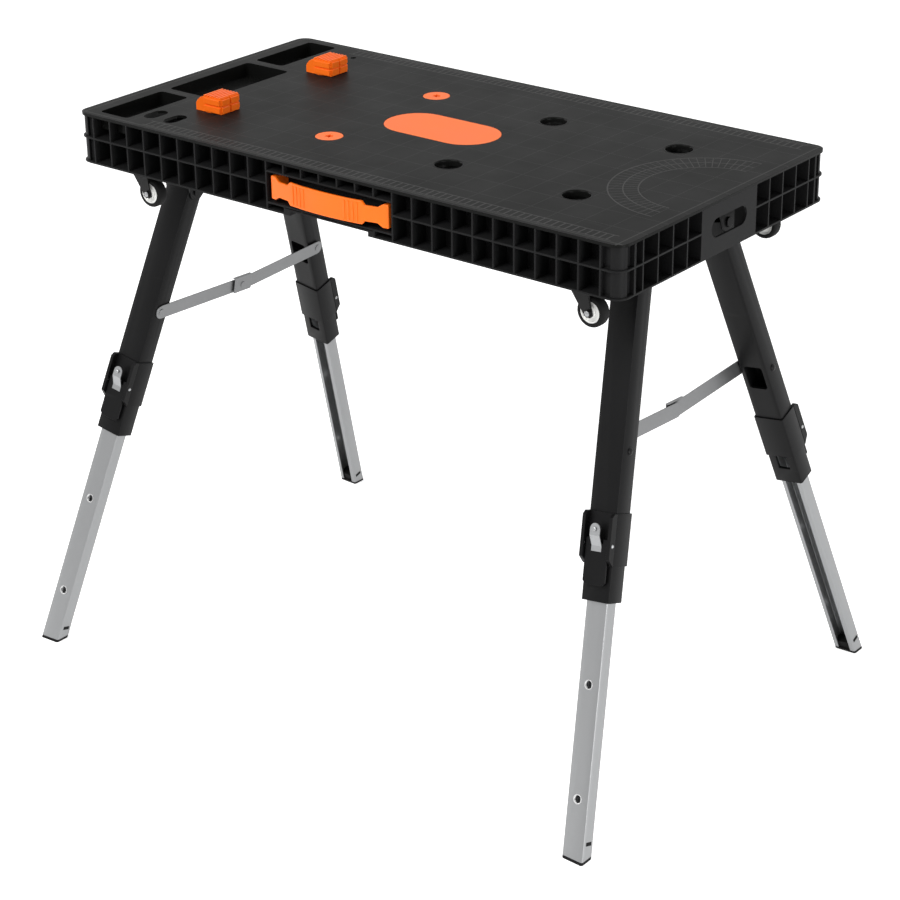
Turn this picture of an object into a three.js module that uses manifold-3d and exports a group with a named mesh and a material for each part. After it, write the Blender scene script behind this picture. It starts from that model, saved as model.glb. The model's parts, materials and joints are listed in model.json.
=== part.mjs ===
// Folding workbench: a moulded top on two pairs of telescopic legs.
// Millimetres, +Z up. The origin is on the floor, under the middle of the top.
// +X runs along the long front edge to the right and +Y runs to the back.

import * as THREE from 'three';
import { mergeVertices } from 'three/addons/utils/BufferGeometryUtils.js';
import Module from 'manifold-3d';

const wasm = await Module();
wasm.setup();

// Overall size of the top and its height above the floor.
const LENGTH = 900;
const DEPTH = 466;
const TOP_Z = 777;
const BOX_H = 70;
const CORNER_R = 17;
const DECK_T = 4;

// Running gap between turned or sliding pieces, and seat gap between fixed ones.
const RUN_GAP = 0.4;
const SEAT_GAP = 0.3;

// Ribbed side rails: depth of the pockets' zone, walls and rib spacing.
const RAIL_D = 30;
const RAIL_WALL = 3;
const RIB_T = 2.5;
const RIB_PITCH = 31.5;
const MID_RIB_DROP = 34;
const CORNER_POCKET = 7;
const END_PANEL_HALF = 61;

// Carry handle and its recess in the front rail.
const RECESS_HALF = 105;
const RECESS_TOP_DROP = 18;
const RECESS_H = 40;
const NOTCH_HALF = 65;
const NOTCH_H = 6;
const HANDLE_END_GAP = 7;
const HANDLE_H = 31;
const HANDLE_WAIST_H = 21;
const HANDLE_GRIP_L = 120;
const HANDLE_T = 4;
const HANDLE_BOW = 12;
const HANDLE_SETBACK = 2;
const HANDLE_SLOPE = 8;
const HANDLE_LUG = 8;

// Hand-hole in each end panel.
const HAND_HOLE_L = 80;
const HAND_HOLE_H = 25;
const HAND_HOLE_DROP = 35;

// Tool trays at the left end.
const TRAY_DEPTH = 19.5;
const TRAY_WALL = 2.5;
const TRAY_R = 6;
const TRAY_END_RIM = 27;
const TRAY_SIDE_RIM = 17;
const TRAY_CORNER_W = 52;
const TRAY_MID_W = 79;
const TRAY_MID_HALF = 81;
const TRAY_GAP = 15.5;

// Slots and hanging holes beside the trays.
const SLOT_W = 21;
const SLOT_L = 38;
const SLOT_Y = 180;
const SLOT_STEP = 36;
const SLOT_INSET = 98;
const PEG_HOLE_D = 9;
const PEG_HOLE_Y = 190;

// Bench dog holes: two rows of four, each with a ledge for the dog to stand on.
const DOG_PITCH = 200;
const DOG_ROW_Y = 113;
const DOG_D = 38;
const DOG_COLLAR_T = 2.5;
const DOG_SEAT_DEPTH = 12;
const DOG_LEDGE_T = 2;
const DOG_LEDGE_D = 28;
const DOG_SIDES = 28;

// Bench dog head and plug.
const DOG_HEAD_L = 46;
const DOG_HEAD_W = 36;
const DOG_HEAD_H = 22;
const DOG_NOSE_H = 10;
const DOG_RIDGES = 6;
const DOG_GROOVE = 1.6;
const PLUG_SOCKET_D = 13;
const PLUG_SOCKET_DEPTH = 8;

// Oval insert let into the middle of the top.
const INSERT_L = 175;
const INSERT_W = 91;
const INSERT_T = 2.5;

// Leg line: where each leg crosses the underside, and how far out its foot stands from there.
const LEG_INSET = 80;
const LEG_TOP_Y = 86.4;
const FOOT_LEAN_X = 101;
const FOOT_LEAN_Y = 250.6;

// Leg tubes.
const UPPER_W = 42;
const UPPER_D = 30;
const LOWER_W = 32;
const LOWER_D = 21;
const LOWER_WALL = 2;
const LOWER_SLOT_W = 18;
const TUBE_R = 2.5;
const UPPER_REACH = 402;
const LOWER_OVERLAP = 60;
const LOCK_STEP = 145;
const LOCK_HOLE_R = 5.6;
const FOOT_T = 3.5;
const FOOT_PLUG_H = 15;
const WINDOW_W = 28;
const WINDOW_H = 36;
const SMALL_WINDOW_W = 18;
const SMALL_WINDOW_H = 22;
const SMALL_WINDOW_UP = 34;

// Hinge of each pair: drop below the work surface where the pair's plane passes it,
// and how far outside that plane the hinge line runs.
const HINGE_DROP = { left: 104.6, right: 54 };
const HINGE_OFFSET = 8;
const HINGE_PIN_R = 4;
const BRACKET_T = 3;
const BRACKET_W = 50;
const EAR_END_R = 10;
const YOKE_H = 14;
const TRUNNION_PROUD = 1;
const CLEVIS_T = 2.5;
const CLEVIS_W = 36;
const CLEVIS_END_R = 14;
const PIVOT_DROP = 22;
const PIVOT_HEAD_R = 7;
const PIVOT_HEAD_T = 2.5;
const TUBE_ABOVE_PIVOT = 9;

// Folding stay between the two legs of a pair.
const STAY_DROP = 241;
const STAY_SAG = 8;
const STRAP_W = 20;
const STRAP_T = 1.6;
const RIVET_R = 3;
const RIVET_HEAD_R = 5;
const RIVET_HEAD_T = 1;
const SLEEVE_L = 36;
const SLEEVE_T = 1.2;

// Height latch on the outer face of each leg, measured up from the tube's lower end.
const SLEEVE_LOW = 46;
const LATCH_L = 66;
const LATCH_SHEET = 1.5;
const LUG_T = 4.8;
const LUG_OUT = 9;
const LEVER_LOW = 21;
const LEVER_HIGH = 79;
const LEVER_T = 3;
const LEVER_STAND = 2.2;
const LEVER_PIN_UP = 72;
const LEVER_PIN_R = 2.5;
const TAB_W = 15;
const TAB_L = 24;
const TAB_RISE = 5;
const LOCK_UP = 40;
const LOCK_PIN_R = 4.6;
const LOCK_SWING_ROOM = 3.3;

// Swivel castors.
const CASTOR_INSET_X = 82;
const CASTOR_INSET_Y = 38;
const CASTOR_BLOCK = 44;
const CASTOR_BLOCK_H = 45;
const STEM_R = 5;
const STEM_L = 30;
const CASTOR_TRAIL = 17;
const WHEEL_R = 20;
const WHEEL_W = 16;
const HUB_R = 14;
const AXLE_DROP = 106;
const AXLE_R = 3;
const AXLE_HEAD_R = 5;
const AXLE_HEAD_T = 3;
const FORK_T = 2;
const FORK_W = 22;
const CROWN_T = 4;

const castorX = LENGTH / 2 - CASTOR_INSET_X;
const castorY = DEPTH / 2 - CASTOR_INSET_Y;
const BOX_Z = TOP_Z - BOX_H;
const UNDER_DECK = TOP_Z - DECK_T;
const ROUND = 16;
const SMALL_ROUND = 10;

// Solids from three.js geometry, joined and cut as closed meshes.
function solid(geometry) {
  const bare = geometry.clone();
  bare.deleteAttribute('normal');
  bare.deleteAttribute('uv');
  const merged = mergeVertices(bare, 1e-4);
  const mesh = new wasm.Mesh({
    numProp: 3,
    vertProperties: new Float32Array(merged.attributes.position.array),
    triVerts: new Uint32Array(merged.index.array),
  });
  return new wasm.Manifold(mesh);
}

function geometryOf(body) {
  const mesh = body.getMesh();
  const geometry = new THREE.BufferGeometry();
  geometry.setAttribute('position', new THREE.BufferAttribute(new Float32Array(mesh.vertProperties), 3));
  geometry.setIndex(new THREE.BufferAttribute(new Uint32Array(mesh.triVerts), 1));
  geometry.computeVertexNormals();
  return geometry;
}

function block(x0, x1, y0, y1, z0, z1) {
  const geometry = new THREE.BoxGeometry(Math.abs(x1 - x0), Math.abs(y1 - y0), Math.abs(z1 - z0));
  geometry.translate((x0 + x1) / 2, (y0 + y1) / 2, (z0 + z1) / 2);
  return solid(geometry);
}

// A round bar along x, y or z from one end to the other, centred on a point.
function bar(axis, radius, from, to, centre, sides = SMALL_ROUND) {
  const geometry = new THREE.CylinderGeometry(radius, radius, to - from, sides);
  geometry.translate(0, (from + to) / 2, 0);
  if (axis === 'x') geometry.rotateZ(-Math.PI / 2);
  if (axis === 'z') geometry.rotateX(Math.PI / 2);
  geometry.translate(...centre);
  return solid(geometry);
}

function roundRect(width, height, radius, cx = 0, cy = 0) {
  const shape = new THREE.Shape();
  const x = width / 2;
  const y = height / 2;
  shape.moveTo(cx + x, cy - y + radius);
  shape.lineTo(cx + x, cy + y - radius);
  shape.absarc(cx + x - radius, cy + y - radius, radius, 0, Math.PI / 2);
  shape.lineTo(cx - x + radius, cy + y);
  shape.absarc(cx - x + radius, cy + y - radius, radius, Math.PI / 2, Math.PI);
  shape.lineTo(cx - x, cy - y + radius);
  shape.absarc(cx - x + radius, cy - y + radius, radius, Math.PI, Math.PI * 1.5);
  shape.lineTo(cx + x - radius, cy - y);
  shape.absarc(cx + x - radius, cy - y + radius, radius, Math.PI * 1.5, Math.PI * 2);
  return shape;
}

function outline(points) {
  return new THREE.Shape(points.map(([x, y]) => new THREE.Vector2(x, y)));
}

// An outline in x and y raised from z0 to z1.
function raised(shape, z0, z1, steps = 2) {
  const options = { depth: z1 - z0, bevelEnabled: false, curveSegments: steps };
  const geometry = new THREE.ExtrudeGeometry(shape, options);
  geometry.translate(0, 0, z0);
  return solid(geometry);
}

// An outline in x and z, carried along y from y0 to y1.
function acrossY(shape, y0, y1, steps = 2) {
  const options = { depth: y1 - y0, bevelEnabled: false, curveSegments: steps };
  const geometry = new THREE.ExtrudeGeometry(shape, options);
  geometry.rotateX(Math.PI / 2);
  geometry.translate(0, y1, 0);
  return solid(geometry);
}

// An outline in y and z, carried along x from x0 to x1.
function acrossX(shape, x0, x1, steps = 2) {
  const options = { depth: x1 - x0, bevelEnabled: false, curveSegments: steps };
  const geometry = new THREE.ExtrudeGeometry(shape, options);
  geometry.rotateX(Math.PI / 2);
  geometry.rotateZ(Math.PI / 2);
  geometry.translate(x0, 0, 0);
  return solid(geometry);
}

function joined(pieces) {
  return pieces.reduce((whole, piece) => whole.add(piece));
}

function cutBy(body, cuts) {
  return cuts.reduce((whole, cut) => whole.subtract(cut), body);
}

function finish(colour, roughness, metalness) {
  return new THREE.MeshStandardMaterial({ color: colour, roughness, metalness });
}

const blackPlastic = () => finish(0x1b1c1b, 0.6, 0);
const blackPaint = () => finish(0x202020, 0.5, 0.3);
const orangePlastic = () => finish(0xff6a10, 0.45, 0);
const salmonPlastic = () => finish(0xff8a58, 0.5, 0);
const silver = () => finish(0xc4c6c8, 0.35, 0.9);
const darkSteel = () => finish(0x3a3b3c, 0.4, 0.8);
const blackRubber = () => finish(0x141414, 0.8, 0);
const whitePlastic = () => finish(0xeeeeea, 0.4, 0);

const bench = new THREE.Group();

function place(parent, name, body, material) {
  const mesh = new THREE.Mesh(geometryOf(body), material);
  mesh.name = name;
  parent.add(mesh);
}

// Tool trays: a wide one in the middle of the left end, one in each corner.
const trayOuterX = -(LENGTH / 2 - TRAY_END_RIM);
const cornerTrayNear = TRAY_MID_HALF + TRAY_GAP;
const cornerTrayFar = DEPTH / 2 - TRAY_SIDE_RIM;
const trays = [
  { w: TRAY_MID_W, y0: -TRAY_MID_HALF, y1: TRAY_MID_HALF },
  { w: TRAY_CORNER_W, y0: cornerTrayNear, y1: cornerTrayFar },
  { w: TRAY_CORNER_W, y0: -cornerTrayFar, y1: -cornerTrayNear },
];
const trayFloorZ = TOP_Z - TRAY_DEPTH - TRAY_WALL;

// A tray's plan, grown by a wall or a clearance.
function trayPlan(tray, grow) {
  const width = tray.w + 2 * grow;
  const height = tray.y1 - tray.y0 + 2 * grow;
  return roundRect(width, height, TRAY_R + grow, trayOuterX + tray.w / 2, (tray.y0 + tray.y1) / 2);
}

// The deck: work surface, tray wells, dog sockets, slots and the insert's seat.
const dogColumns = [-1.5, -0.5, 0.5, 1.5].map((step) => step * DOG_PITCH);
const dogSpots = dogColumns.flatMap((x) => [[x, -DOG_ROW_Y], [x, DOG_ROW_Y]]);
const slotXs = [0, 1].map((step) => -(LENGTH / 2 - SLOT_INSET) + step * SLOT_STEP);

function deck() {
  const skin = raised(roundRect(LENGTH, DEPTH, CORNER_R), UNDER_DECK, TOP_Z, 3);
  const wells = trays.map((tray) => raised(trayPlan(tray, TRAY_WALL), trayFloorZ, UNDER_DECK + 1));
  const collarR = DOG_D / 2 + DOG_COLLAR_T;
  const socketLow = TOP_Z - DOG_SEAT_DEPTH - DOG_LEDGE_T;
  const collars = dogSpots.map(([x, y]) => bar('z', collarR, socketLow, UNDER_DECK + 1, [x, y, 0], ROUND));
  const padPlan = roundRect(INSERT_L + 2 * TRAY_WALL, INSERT_W + 2 * TRAY_WALL, INSERT_W / 2 + TRAY_WALL);
  const pad = raised(padPlan, UNDER_DECK - INSERT_T, UNDER_DECK + 1, 4);
  const whole = joined([skin, ...wells, ...collars, pad]);
  const cuts = trays.map((tray) => raised(trayPlan(tray, 0), TOP_Z - TRAY_DEPTH, TOP_Z + 1));
  for (const [x, y] of dogSpots) {
    cuts.push(bar('z', DOG_D / 2, TOP_Z - DOG_SEAT_DEPTH, TOP_Z + 1, [x, y, 0], DOG_SIDES));
    cuts.push(bar('z', DOG_LEDGE_D / 2, socketLow - 1, TOP_Z, [x, y, 0], ROUND));
  }
  for (const x of slotXs) {
    const slot = roundRect(SLOT_W, SLOT_L, SLOT_W / 2 - 0.1, x, -SLOT_Y);
    cuts.push(raised(slot, UNDER_DECK - 1, TOP_Z + 1));
    cuts.push(bar('z', PEG_HOLE_D / 2, UNDER_DECK - 1, TOP_Z + 1, [x, PEG_HOLE_Y, 0]));
  }
  const seat = roundRect(INSERT_L, INSERT_W, INSERT_W / 2 - 0.1);
  cuts.push(raised(seat, TOP_Z - INSERT_T, TOP_Z + 1, 4));
  return cutBy(whole, cuts);
}
place(bench, 'top_deck', deck(), blackPlastic());

const insertPlan = roundRect(INSERT_L - 2 * SEAT_GAP, INSERT_W - 2 * SEAT_GAP, INSERT_W / 2 - 0.1 - SEAT_GAP);
place(bench, 'oval_insert', raised(insertPlan, TOP_Z - INSERT_T, TOP_Z, 4), salmonPlastic());

// Side rails: a back wall with open pockets in two rows between the ribs.
const halfL = LENGTH / 2;
const halfD = DEPTH / 2;
function trayRelief() {
  return trays.map((tray) => raised(trayPlan(tray, TRAY_WALL + SEAT_GAP), trayFloorZ - SEAT_GAP, TOP_Z));
}

const midRibZ = TOP_Z - MID_RIB_DROP;
const pocketRows = [
  [BOX_Z + RIB_T, midRibZ - RIB_T / 2],
  [midRibZ + RIB_T / 2, UNDER_DECK + 1],
];

// Pockets from one rib to the next along a rail, starting at a given rib line.
function pocketSpans(start, end) {
  const count = Math.floor((end - start) / RIB_PITCH);
  const spans = [];
  for (let i = 0; i < count; i += 1) {
    spans.push([start + i * RIB_PITCH + RIB_T / 2, start + (i + 1) * RIB_PITCH - RIB_T / 2]);
  }
  return spans;
}

function longRail(side) {
  const outer = side * halfD;
  const inner = side * (halfD - RAIL_D);
  const floor = side * (halfD - RAIL_D + RAIL_WALL);
  const blank = block(-halfL, halfL, inner, outer, BOX_Z, UNDER_DECK);
  const body = blank.intersect(raised(roundRect(LENGTH, DEPTH, CORNER_R), BOX_Z - 1, TOP_Z, 3));
  const cuts = trayRelief();
  const first = side < 0 ? RECESS_HALF : 0;
  const mouth = outer + side;
  const spans = pocketSpans(first, halfL - CORNER_R + RIB_T);
  const lastRib = spans[spans.length - 1][1] + RIB_T;
  const endRib = inner + side * RIB_T;
  for (const [low, high] of pocketRows) {
    for (const [a, b] of spans) {
      cuts.push(block(a, b, floor, mouth, low, high));
      cuts.push(block(-b, -a, floor, mouth, low, high));
    }
    for (const end of [-1, 1]) {
      const tip = end * (halfL + 1);
      cuts.push(block(end * lastRib, tip, outer - side * CORNER_POCKET, mouth, low, high));
      cuts.push(block(end * (halfL - CORNER_POCKET), tip, endRib, mouth, low, high));
    }
  }
  const blocks = [-1, 1].map((end) => {
    const near = inner + side * RAIL_WALL;
    const far = side * (castorY - CASTOR_BLOCK / 2);
    const x = end * castorX;
    return block(x - CASTOR_BLOCK / 2, x + CASTOR_BLOCK / 2, far, near, BOX_Z, BOX_Z + CASTOR_BLOCK_H);
  });
  const bores = [-1, 1].map((end) => {
    return bar('z', STEM_R + SEAT_GAP, BOX_Z - 1, BOX_Z + STEM_L + 1, [end * castorX, side * castorY, 0]);
  });
  return cutBy(joined([cutBy(body, cuts), ...blocks]), bores);
}

// The front rail also has the handle recess, small cells above and below it,
// and a raised lower edge where the hand reaches in.
function frontRail() {
  const outer = -halfD - 1;
  const floor = -(halfD - RAIL_D + RAIL_WALL);
  const recessTop = TOP_Z - RECESS_TOP_DROP;
  const recessLow = recessTop - RECESS_H;
  const reach = RECESS_HALF - RIB_T / 2;
  const cuts = [block(-reach, reach, outer, floor, recessLow, recessTop)];
  cuts.push(block(-NOTCH_HALF, NOTCH_HALF, outer, -(halfD - RAIL_D) + 1, BOX_Z - 1, BOX_Z + NOTCH_H));
  const cells = Math.round((2 * RECESS_HALF) / RIB_PITCH);
  const pitch = (2 * RECESS_HALF) / cells;
  for (let i = 0; i < cells; i += 1) {
    const a = -RECESS_HALF + i * pitch + RIB_T / 2;
    const b = -RECESS_HALF + (i + 1) * pitch - RIB_T / 2;
    cuts.push(block(a, b, outer, floor, recessTop + RIB_T, UNDER_DECK + 1));
    const raisedEdge = Math.min(Math.abs(a), Math.abs(b)) < NOTCH_HALF ? NOTCH_H : 0;
    cuts.push(block(a, b, outer, floor, BOX_Z + raisedEdge + RIB_T, recessLow - RIB_T));
  }
  return cutBy(longRail(-1), cuts);
}
place(bench, 'front_rail', frontRail(), blackPlastic());
place(bench, 'back_rail', longRail(1), blackPlastic());

// End rails fit between the long ones. The middle is a plain panel with a hand-hole.
function endRail(side) {
  const outer = side * halfL;
  const inner = side * (halfL - RAIL_D);
  const floor = side * (halfL - RAIL_D + RAIL_WALL);
  const mouth = outer + side;
  const half = halfD - RAIL_D;
  const cuts = trayRelief();
  for (const [a, b] of pocketSpans(END_PANEL_HALF, half + RIB_PITCH / 2)) {
    const far = Math.min(b, half - RIB_T / 2);
    for (const [low, high] of pocketRows) {
      cuts.push(block(floor, mouth, a, far, low, high));
      cuts.push(block(floor, mouth, -far, -a, low, high));
    }
  }
  const hollow = END_PANEL_HALF - RIB_T / 2;
  const panelIn = outer - side * RAIL_WALL;
  cuts.push(block(inner - side, panelIn, -hollow, hollow, BOX_Z + RIB_T, UNDER_DECK + 1));
  const hole = roundRect(HAND_HOLE_L, HAND_HOLE_H, HAND_HOLE_H / 2 - 0.1, 0, TOP_Z - HAND_HOLE_DROP);
  cuts.push(acrossX(hole, Math.min(inner, mouth), Math.max(inner, mouth)));
  return cutBy(block(inner, outer, -half, half, BOX_Z, UNDER_DECK), cuts);
}
place(bench, 'left_end_rail', endRail(-1), blackPlastic());
place(bench, 'right_end_rail', endRail(1), blackPlastic());

// Carry handle: a bowed strap, waisted near its ends, on a post at each end of the recess.
function carryHandle() {
  const midZ = TOP_Z - RECESS_TOP_DROP - RECESS_H / 2;
  const end = RECESS_HALF - HANDLE_END_GAP;
  const grip = HANDLE_GRIP_L / 2;
  const tall = HANDLE_H / 2;
  const waist = HANDLE_WAIST_H / 2;
  const post = end - HANDLE_LUG;
  const upper = [[-end, tall], [-post, tall], [-post + HANDLE_SLOPE, waist],
    [-grip - HANDLE_SLOPE / 2, waist], [-grip, tall], [grip, tall], [grip + HANDLE_SLOPE / 2, waist],
    [post - HANDLE_SLOPE, waist],
    [post, tall], [end, tall]];
  const lower = upper.map(([x, z]) => [x, -z]).reverse();
  const face = outline([...upper, ...lower].map(([x, z]) => [x, midZ + z]));
  const seatY = -(halfD - RAIL_D + RAIL_WALL);
  const rimY = -(halfD - HANDLE_SETBACK);
  const radius = (end * end + HANDLE_BOW * HANDLE_BOW) / (2 * HANDLE_BOW);
  const centreY = rimY - HANDLE_BOW + radius;
  const spread = Math.asin(end / radius);
  const down = -Math.PI / 2;
  const band = new THREE.Shape();
  band.absarc(0, centreY, radius, down - spread, down + spread, false);
  band.absarc(0, centreY, radius - HANDLE_T, down + spread, down - spread, true);
  const bow = raised(band, midZ - HANDLE_H, midZ + HANDLE_H, 10);
  const strap = bow.intersect(acrossY(face, -DEPTH, 0));
  const posts = [-1, 1].map((side) => {
    const ends = [side * post, side * end].sort((p, q) => p - q);
    return block(ends[0], ends[1], rimY, seatY, midZ - tall, midZ + tall);
  });
  const limit = block(-end, end, -DEPTH, seatY, BOX_Z, TOP_Z);
  return joined([strap, ...posts]).intersect(limit);
}
place(bench, 'carry_handle', carryHandle(), orangePlastic());

// Bench dogs: a ridged block with a sloping nose on a round peg.
function dog(x, y) {
  const pegR = DOG_D / 2 - SEAT_GAP;
  const peg = bar('z', pegR, TOP_Z - DOG_SEAT_DEPTH, TOP_Z + 1, [x, y, 0], DOG_SIDES);
  const half = DOG_HEAD_L / 2;
  const top = TOP_Z + DOG_HEAD_H;
  const noseZ = TOP_Z + DOG_NOSE_H;
  const side = new THREE.Shape();
  side.moveTo(x - half, TOP_Z + SEAT_GAP);
  side.lineTo(x - half, noseZ);
  side.quadraticCurveTo(x - half * 0.75, top - 1, x - half * 0.2, top);
  side.lineTo(x + half, top);
  side.lineTo(x + half, TOP_Z + SEAT_GAP);
  const head = acrossY(side, y - DOG_HEAD_W / 2, y + DOG_HEAD_W / 2, 5);
  const cuts = [];
  const step = (half * 1.2) / DOG_RIDGES;
  for (let i = 0; i < DOG_RIDGES; i += 1) {
    const gx = x - half * 0.2 + i * step;
    cuts.push(block(gx, gx + DOG_GROOVE, y - DOG_HEAD_W, y + DOG_HEAD_W, top - DOG_GROOVE / 2, top + 1));
  }
  const face = x + half - DOG_GROOVE / 2;
  const midZ = TOP_Z + DOG_HEAD_H / 2;
  cuts.push(block(face, face + 2, y - DOG_GROOVE / 2, y + DOG_GROOVE / 2, TOP_Z, top + 1));
  const grooveLow = midZ - DOG_GROOVE / 2;
  cuts.push(block(face, face + 2, y - DOG_HEAD_W, y + DOG_HEAD_W, grooveLow, grooveLow + DOG_GROOVE));
  return cutBy(head.add(peg), cuts);
}

// Plugs: round caps that fill a dog hole, with a star socket in the top.
function plug(x, y) {
  const body = bar('z', DOG_D / 2 - SEAT_GAP, TOP_Z - DOG_SEAT_DEPTH, TOP_Z, [x, y, 0], DOG_SIDES);
  const points = [];
  const corners = 12;
  for (let i = 0; i < corners; i += 1) {
    const r = (i % 2 ? 0.62 : 1) * PLUG_SOCKET_D / 2;
    const a = (i / corners) * Math.PI * 2;
    points.push([x + r * Math.cos(a), y + r * Math.sin(a)]);
  }
  return body.subtract(raised(outline(points), TOP_Z - PLUG_SOCKET_DEPTH, TOP_Z + 1));
}
for (const [row, side] of [['front', -1], ['back', 1]]) {
  place(bench, `bench_dog_${row}`, dog(dogColumns[0], side * DOG_ROW_Y), orangePlastic());
  place(bench, `hole_plug_${row}`, plug(dogColumns[1], side * DOG_ROW_Y), salmonPlastic());
}

// Swivel castors: a stem and fork with its axle bolt, a white hub and a black tyre.
function castorFork(x, y) {
  const crownTop = BOX_Z - RUN_GAP;
  const armY = FORK_W / 2;
  const axle = [x + CASTOR_TRAIL, y, TOP_Z - AXLE_DROP];
  const stem = bar('z', STEM_R, crownTop - CROWN_T, BOX_Z + STEM_L, [x, y, 0]);
  const crown = block(x - 14, x + 15, y - armY, y + armY, crownTop - CROWN_T, crownTop);
  const pieces = [stem, crown];
  for (const side of [-1, 1]) {
    const low = axle[2] - 6;
    const arm = outline([[x - 14, crownTop], [x - 12, crownTop - CROWN_T - 3], [axle[0] - 6, low + 2],
      [axle[0] - 3, low], [axle[0] + 3, low], [axle[0] + 6, low + 3], [x + 15, crownTop]]);
    const y0 = y + side * armY;
    const y1 = y + side * (armY - FORK_T);
    pieces.push(acrossY(arm, Math.min(y0, y1), Math.max(y0, y1)));
    const h0 = side * armY;
    const h1 = side * (armY + AXLE_HEAD_T);
    pieces.push(bar('y', AXLE_HEAD_R, Math.min(h0, h1), Math.max(h0, h1), axle, 6));
  }
  pieces.push(bar('y', AXLE_R, -armY, armY, axle));
  return joined(pieces);
}

// A wheel part is turned about the axle from a half section.
function turnedAboutAxle(profile, x, y) {
  const points = profile.map(([r, w]) => new THREE.Vector2(r, w));
  const geometry = new THREE.LatheGeometry([...points, points[0]], ROUND);
  geometry.translate(x + CASTOR_TRAIL, y, TOP_Z - AXLE_DROP);
  return solid(geometry);
}

function castorHub(x, y) {
  const bore = AXLE_R + SEAT_GAP;
  const half = WHEEL_W / 2;
  const recess = 2.5;
  const boss = AXLE_R + 4;
  return turnedAboutAxle([[bore, -half], [boss, -half], [boss, -half + recess], [HUB_R - 2, -half + recess],
    [HUB_R - 1, -half + 1], [HUB_R, -half + 1], [HUB_R, half - 1], [HUB_R - 1, half - 1],
    [HUB_R - 2, half - recess], [boss, half - recess], [boss, half], [bore, half]], x, y);
}

function castorTyre(x, y) {
  const half = WHEEL_W / 2;
  const inner = HUB_R + 0.15;
  return turnedAboutAxle([[inner, -half], [WHEEL_R - 3, -half], [WHEEL_R - 0.8, -half + 2.5],
    [WHEEL_R, -half + 5], [WHEEL_R, half - 5], [WHEEL_R - 0.8, half - 2.5],
    [WHEEL_R - 3, half], [inner, half]], x, y);
}
for (const [row, sy] of [['front', -1], ['back', 1]]) {
  for (const [end, sx] of [['left', -1], ['right', 1]]) {
    const x = sx * castorX;
    const y = sy * castorY;
    place(bench, `castor_fork_${row}_${end}`, castorFork(x, y), darkSteel());
    place(bench, `castor_hub_${row}_${end}`, castorHub(x, y), whitePlastic());
    place(bench, `castor_tyre_${row}_${end}`, castorTyre(x, y), blackRubber());
  }
}

// Lean of the leg pairs: tilt of a pair's plane, and splay of each leg in that plane.
const tilt = Math.atan(FOOT_LEAN_X / BOX_Z);
const planeDrop = BOX_Z / Math.cos(tilt);
const splay = Math.atan(FOOT_LEAN_Y / planeDrop);

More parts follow.
